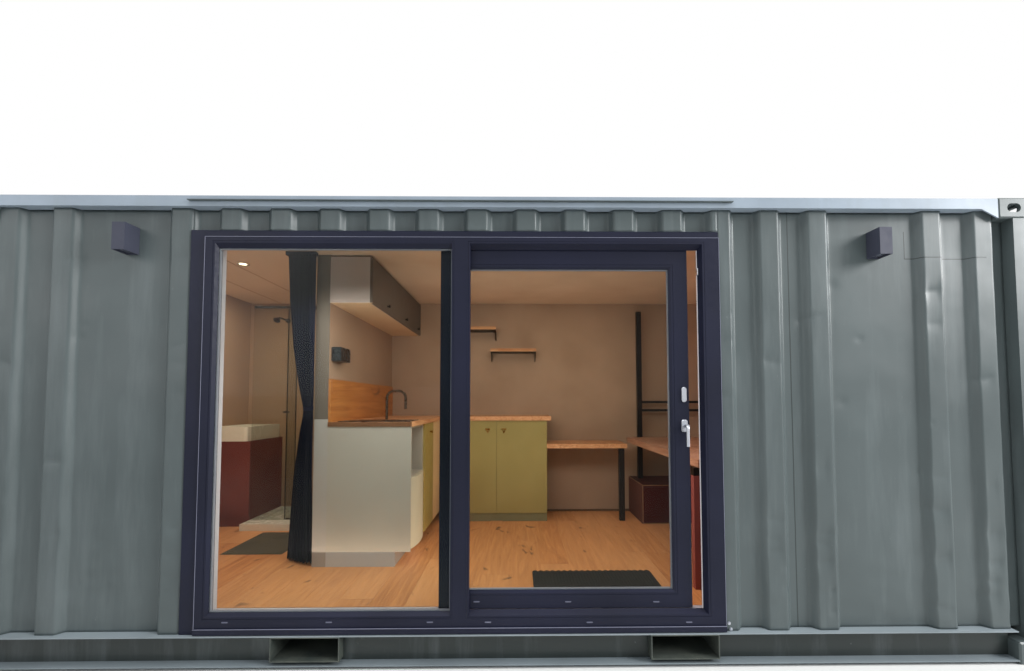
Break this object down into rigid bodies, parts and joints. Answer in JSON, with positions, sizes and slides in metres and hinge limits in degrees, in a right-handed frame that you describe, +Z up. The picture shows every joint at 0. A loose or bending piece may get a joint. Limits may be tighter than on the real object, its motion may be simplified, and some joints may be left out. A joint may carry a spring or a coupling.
{
  "type": "shipping container cabin",
  "caption": "Living cabin in a ribbed steel container with a wide window wall, a sliding glass door leaf and a fitted kitchen, bed and shower room.",
  "frame": {"origin": "middle of the footprint at ground level, lamps included", "axes": "+X along the container towards the bed end, -Y out of the window wall, +Z up"},
  "size_m": [6.058, 2.471, 2.591],
  "materials": {
    "black_metal": "satin",
    "curtain_cloth": "matt",
    "dark_red_board": "satin",
    "floor_ply": "matt",
    "floor_wood": "satin",
    "frame_paint": "satin",
    "glass": "clear",
    "greige_board": "matt",
    "lock_metal": "satin",
    "oak_top": "satin",
    "olive_board": "matt",
    "shell_paint": "satin",
    "white_board": "matt",
    "white_ceramic": "gloss"
  },
  "bodies": {
    "cabin": {"back_wall": "shell_paint", "basin": "white_ceramic", "bed_leg": "dark_red_board", "bed_platform": "oak_top", "bed_post": "black_metal", "bed_rail": "black_metal", "blank_end_wall": "shell_paint", "bottom_end_rails": "shell_paint", "bottom_side_rails": "shell_paint", "cargo_doors": "shell_paint", "ceiling": "white_board", "corner_castings": "shell_paint", "corner_posts": "shell_paint", "cross_members": "shell_paint", "curtain": "curtain_cloth", "curtain_track": "black_metal", "desk": "oak_top", "desk_leg": "black_metal", "drip_strip": "frame_paint", "fixed_pane": "glass", "floor_base": "floor_ply", "floor_boards": "floor_wood", "fork_pockets": "shell_paint", "front_wall_left": "shell_paint", "front_wall_over_window": "shell_paint", "front_wall_right": "shell_paint", "green_cabinet": "olive_board", "green_doors": "olive_board", "green_worktop": "oak_top", "head_flashing": "frame_paint", "kitchen_base": "greige_board", "kitchen_fittings": "black_metal", "kitchen_fronts": "white_board", "kitchen_worktop": "oak_top", "lining_back": "white_board", "lining_ends": "white_board", "lining_front_sides": "white_board", "lining_over_window": "white_board", "lock_rods": "shell_paint", "partition_wall": "white_board", "red_cabinet": "dark_red_board", "roof_panel": "shell_paint", "shower_screen": "glass", "shower_tray": "white_ceramic", "side_flashing": "frame_paint", "splashback": "white_ceramic", "sub_sill": "frame_paint", "top_rails": "shell_paint", "vanity": "dark_red_board", "wall_cabinet": "greige_board", "wall_lamps": "lock_metal", "wall_shelves": "oak_top", "window_head": "frame_paint", "window_jambs": "frame_paint", "window_mullion": "frame_paint", "window_sill": "frame_paint"},
    "sliding_leaf": {"leaf_frame": "frame_paint", "leaf_glass": "glass", "lock_plates": "lock_metal"},
    "lever": {"door_lever": "lock_metal"}
  },
  "joints": [
    {"name": "leaf_slide", "type": "slide", "parent": "cabin", "child": "sliding_leaf", "axis": [-1, 0, 0], "range_m": [-0.06, 1]},
    {"name": "lever_turn", "type": "hinge", "parent": "sliding_leaf", "child": "lever", "pos_m": [1.058, -1.1635, 1.296], "axis": [0, 1, 0], "range_deg": [0, 90]}
  ]
}
